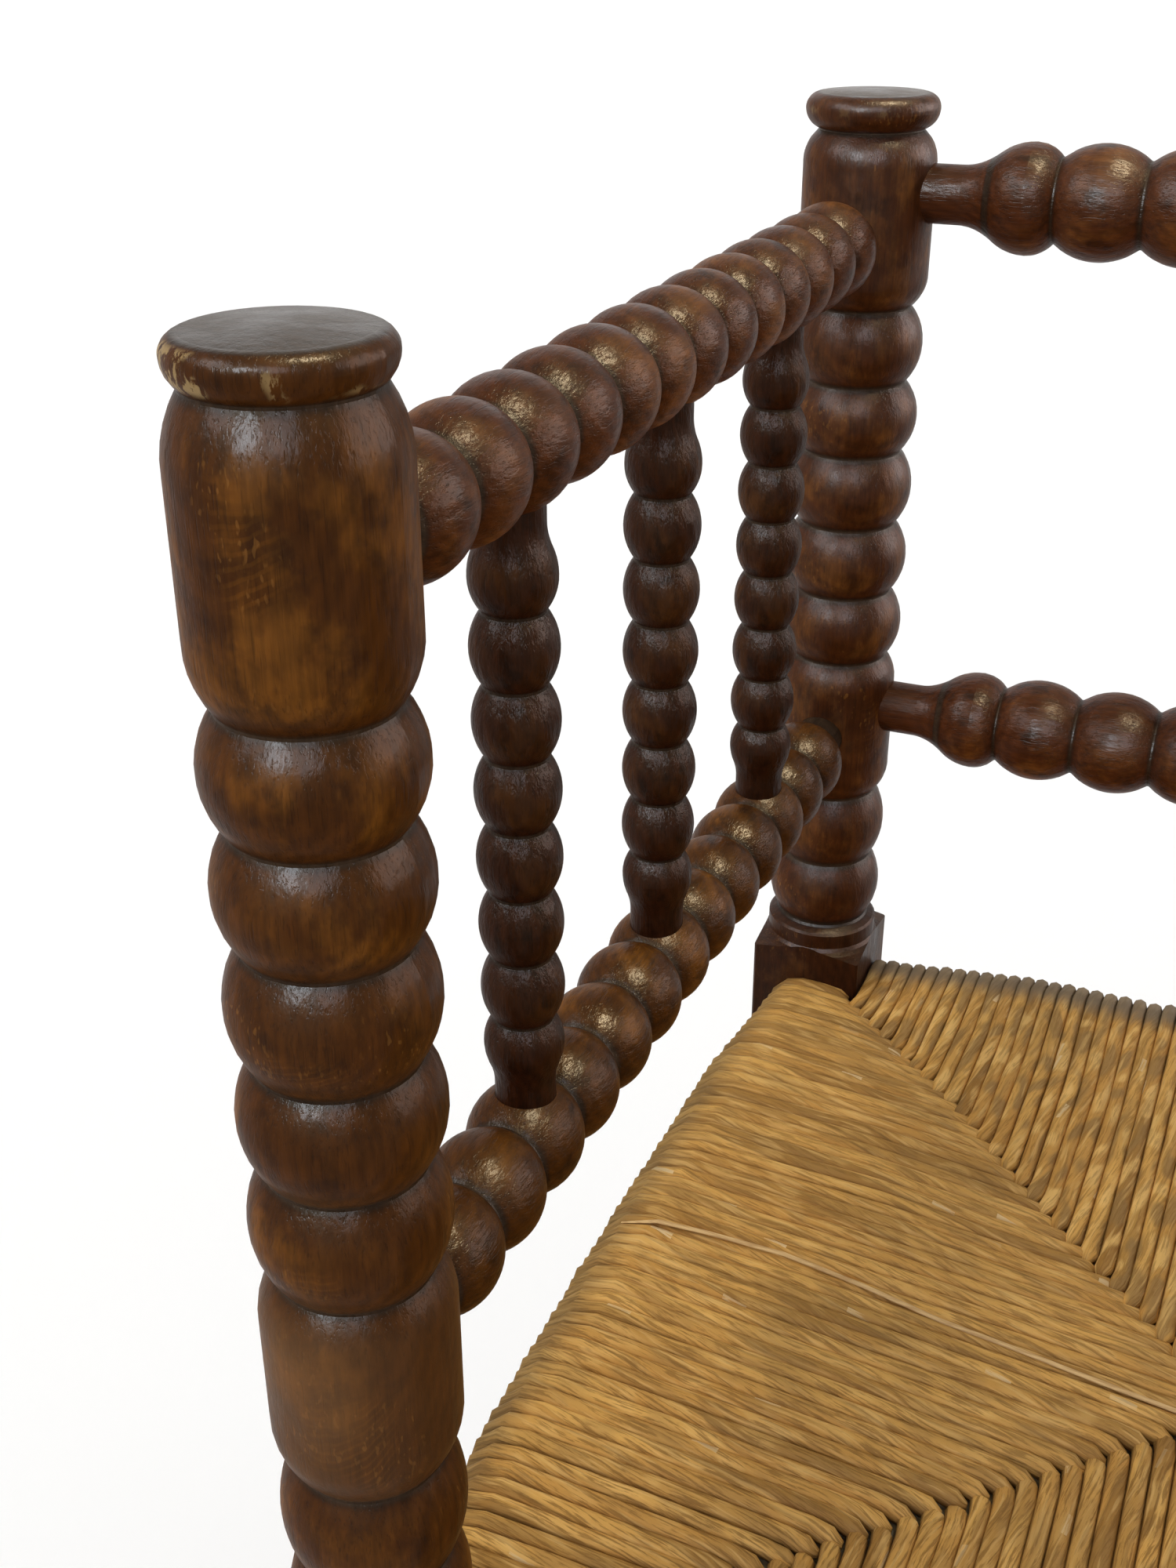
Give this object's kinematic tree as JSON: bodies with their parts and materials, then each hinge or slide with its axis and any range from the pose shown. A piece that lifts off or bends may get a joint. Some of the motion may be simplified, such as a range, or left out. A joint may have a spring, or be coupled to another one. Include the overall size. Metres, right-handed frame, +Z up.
{
  "type": "bobbin bench",
  "caption": "Wooden bench with a rush seat; its posts, arm and back rails, spindles and stretchers are all turned to rows of round bobbins.",
  "frame": {"origin": "on the floor, at the middle of the four feet", "axes": "+X along the width of the bench towards the right_* pieces, which are on the right as one faces its front; +Y from the front to the back, +Z up"},
  "size_m": [1.0206, 0.4258, 0.782],
  "materials": {
    "stained_wood": "dark brown stained wood with a satin polish, rubbed orange-brown on the crowns and near black in the grooves",
    "bare_wood": "plain unfinished wood, hidden under the rush",
    "rush": "hand-twisted rush cord, golden tan with browner and grey-green stretches, dull with a slight sheen",
    "rush_packing": "loose dry rush, packed between the two layers of the seat"
  },
  "bodies": {
    "root": {"front_left_post": "stained_wood", "front_right_post": "stained_wood", "rear_left_post": "stained_wood", "rear_right_post": "stained_wood", "left_arm_top_rail": "stained_wood", "left_arm_lower_rail": "stained_wood", "right_arm_top_rail": "stained_wood", "right_arm_lower_rail": "stained_wood", "left_arm_spindle_1": "stained_wood", "left_arm_spindle_2": "stained_wood", "left_arm_spindle_3": "stained_wood", "right_arm_spindle_1": "stained_wood", "right_arm_spindle_2": "stained_wood", "right_arm_spindle_3": "stained_wood", "back_top_rail": "stained_wood", "back_lower_rail": "stained_wood", "back_spindle_1": "stained_wood", "back_spindle_2": "stained_wood", "back_spindle_3": "stained_wood", "back_spindle_4": "stained_wood", "back_spindle_5": "stained_wood", "back_spindle_6": "stained_wood", "back_spindle_7": "stained_wood", "left_upper_stretcher": "stained_wood", "left_lower_stretcher": "stained_wood", "right_upper_stretcher": "stained_wood", "right_lower_stretcher": "stained_wood", "front_upper_stretcher": "stained_wood", "front_lower_stretcher": "stained_wood", "back_stretcher": "stained_wood", "front_seat_rail": "bare_wood", "back_seat_rail": "bare_wood", "left_seat_rail": "bare_wood", "right_seat_rail": "bare_wood", "rush_seat": "rush", "rush_stuffing": "rush_packing"}
  },
  "joints": []
}
